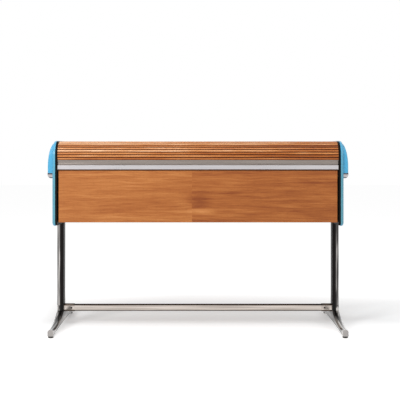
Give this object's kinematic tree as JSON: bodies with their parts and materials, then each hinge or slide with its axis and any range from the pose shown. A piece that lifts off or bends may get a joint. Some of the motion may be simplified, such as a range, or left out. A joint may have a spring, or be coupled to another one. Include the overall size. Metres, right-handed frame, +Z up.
{
  "type": "tambour desk",
  "caption": "Standing-height desk with a walnut tambour that slides back over a work surface, enamelled ends and cast legs joined by a footrest bar.",
  "frame": {"origin": "on the floor, midway between the legs and the tips of the feet", "axes": "+Z up, -Y the front, where the tambour's pull rail is, +X along the desk"},
  "size_m": [1.656, 0.74, 1.073],
  "materials": {
    "walnut": "oiled veneer",
    "blue_enamel": "semi-gloss",
    "polished_aluminium": "polished",
    "dark_lacquer": "gloss black",
    "satin_aluminium": "satin anodised",
    "grey_aluminium": "dull grey anodised",
    "chrome": "polished",
    "black_plastic": "matte",
    "white_laminate": "satin",
    "lining_wood": "lacquered",
    "canvas": "woven",
    "rubber": "matte"
  },
  "bodies": {
    "frame": {"bin_divider_1": "lining_wood", "bin_divider_2": "lining_wood", "bin_divider_3": "lining_wood", "bin_wall": "lining_wood", "case_floor": "lining_wood", "end_hood_left": "blue_enamel", "end_hood_right": "blue_enamel", "end_panel_left": "blue_enamel", "end_panel_right": "blue_enamel", "foot_left": "polished_aluminium", "foot_pad_front_left": "rubber", "foot_pad_front_right": "rubber", "foot_pad_rear_left": "rubber", "foot_pad_rear_right": "rubber", "foot_right": "polished_aluminium", "footrest_bar": "chrome", "footrest_ferrule_left": "chrome", "footrest_ferrule_right": "chrome", "front_edge_trim": "satin_aluminium", "front_panel": "walnut", "front_rail": "lining_wood", "hood_foot_left": "polished_aluminium", "hood_foot_right": "polished_aluminium", "leg_bolts_left": "chrome", "leg_bolts_right": "chrome", "leg_cover_left": "polished_aluminium", "leg_cover_right": "polished_aluminium", "leg_upright_left": "dark_lacquer", "leg_upright_right": "dark_lacquer", "rear_panel": "walnut", "rear_top": "walnut", "track_plate_left": "black_plastic", "track_plate_right": "black_plastic", "work_surface": "white_laminate"},
    "tambour": {"tambour_top_slats": "walnut", "tambour_canvas": "canvas"},
    "slat_1": {"nose_slat_1": "walnut"},
    "slat_2": {"nose_slat_2": "walnut"},
    "slat_3": {"nose_slat_3": "walnut"},
    "slat_4": {"nose_slat_4": "walnut"},
    "slat_5": {"nose_slat_5": "walnut"},
    "slat_6": {"nose_slat_6": "walnut"},
    "slat_7": {"nose_slat_7": "walnut"},
    "slat_8": {"nose_slat_8": "walnut"},
    "slat_9": {"nose_slat_9": "walnut"},
    "slat_10": {"nose_slat_10": "walnut"},
    "rail": {"pull_rail": "grey_aluminium"}
  },
  "joints": [
    {"name": "tambour_slide", "type": "slide", "parent": "frame", "child": "tambour", "axis": [0, 1, 0], "range_m": [0, 0.329]},
    {"name": "nose_turn_1", "type": "hinge", "parent": "tambour", "child": "slat_1", "pos_m": [0, -0.221, 1.061], "axis": [-1, 0, 0], "range_deg": [0, 5.42]},
    {"name": "nose_turn_2", "type": "hinge", "parent": "tambour", "child": "slat_2", "pos_m": [0, -0.22979, 1.06059], "axis": [-1, 0, 0], "range_deg": [0, 16.22]},
    {"name": "nose_turn_3", "type": "hinge", "parent": "tambour", "child": "slat_3", "pos_m": [0, -0.23682, 1.05975], "axis": [-1, 0, 0], "range_deg": [0, 27.02]},
    {"name": "nose_turn_4", "type": "hinge", "parent": "tambour", "child": "slat_4", "pos_m": [0, -0.2436, 1.0585], "axis": [-1, 0, 0], "range_deg": [0, 37.82]},
    {"name": "nose_turn_5", "type": "hinge", "parent": "tambour", "child": "slat_5", "pos_m": [0, -0.2503, 1.05681], "axis": [-1, 0, 0], "range_deg": [0, 48.62]},
    {"name": "nose_turn_6", "type": "hinge", "parent": "tambour", "child": "slat_6", "pos_m": [0, -0.25696, 1.05468], "axis": [-1, 0, 0], "range_deg": [0, 59.42]},
    {"name": "nose_turn_7", "type": "hinge", "parent": "tambour", "child": "slat_7", "pos_m": [0, -0.2636, 1.05208], "axis": [-1, 0, 0], "range_deg": [0, 70.22]},
    {"name": "nose_turn_8", "type": "hinge", "parent": "tambour", "child": "slat_8", "pos_m": [0, -0.27022, 1.049], "axis": [-1, 0, 0], "range_deg": [0, 81.02]},
    {"name": "nose_turn_9", "type": "hinge", "parent": "tambour", "child": "slat_9", "pos_m": [0, -0.27684, 1.04542], "axis": [-1, 0, 0], "range_deg": [0, 91.82]},
    {"name": "nose_turn_10", "type": "hinge", "parent": "tambour", "child": "slat_10", "pos_m": [0, -0.28346, 1.04129], "axis": [-1, 0, 0], "range_deg": [0, 102.62]},
    {"name": "rail_turn", "type": "hinge", "parent": "tambour", "child": "rail", "pos_m": [0, -0.28688, 1.03886], "axis": [-1, 0, 0], "range_deg": [0, 108.02]}
  ],
  "couplings": [
    {"joint": "nose_turn_1", "follows": "tambour_slide", "rad_per_m": 0.28647},
    {"joint": "nose_turn_2", "follows": "tambour_slide", "rad_per_m": 0.8594},
    {"joint": "nose_turn_3", "follows": "tambour_slide", "rad_per_m": 1.4323},
    {"joint": "nose_turn_4", "follows": "tambour_slide", "rad_per_m": 2.0053},
    {"joint": "nose_turn_5", "follows": "tambour_slide", "rad_per_m": 2.5782},
    {"joint": "nose_turn_6", "follows": "tambour_slide", "rad_per_m": 3.1511},
    {"joint": "nose_turn_7", "follows": "tambour_slide", "rad_per_m": 3.7241},
    {"joint": "nose_turn_8", "follows": "tambour_slide", "rad_per_m": 4.297},
    {"joint": "nose_turn_9", "follows": "tambour_slide", "rad_per_m": 4.8699},
    {"joint": "nose_turn_10", "follows": "tambour_slide", "rad_per_m": 5.4429},
    {"joint": "rail_turn", "follows": "tambour_slide", "rad_per_m": 5.7293}
  ]
}
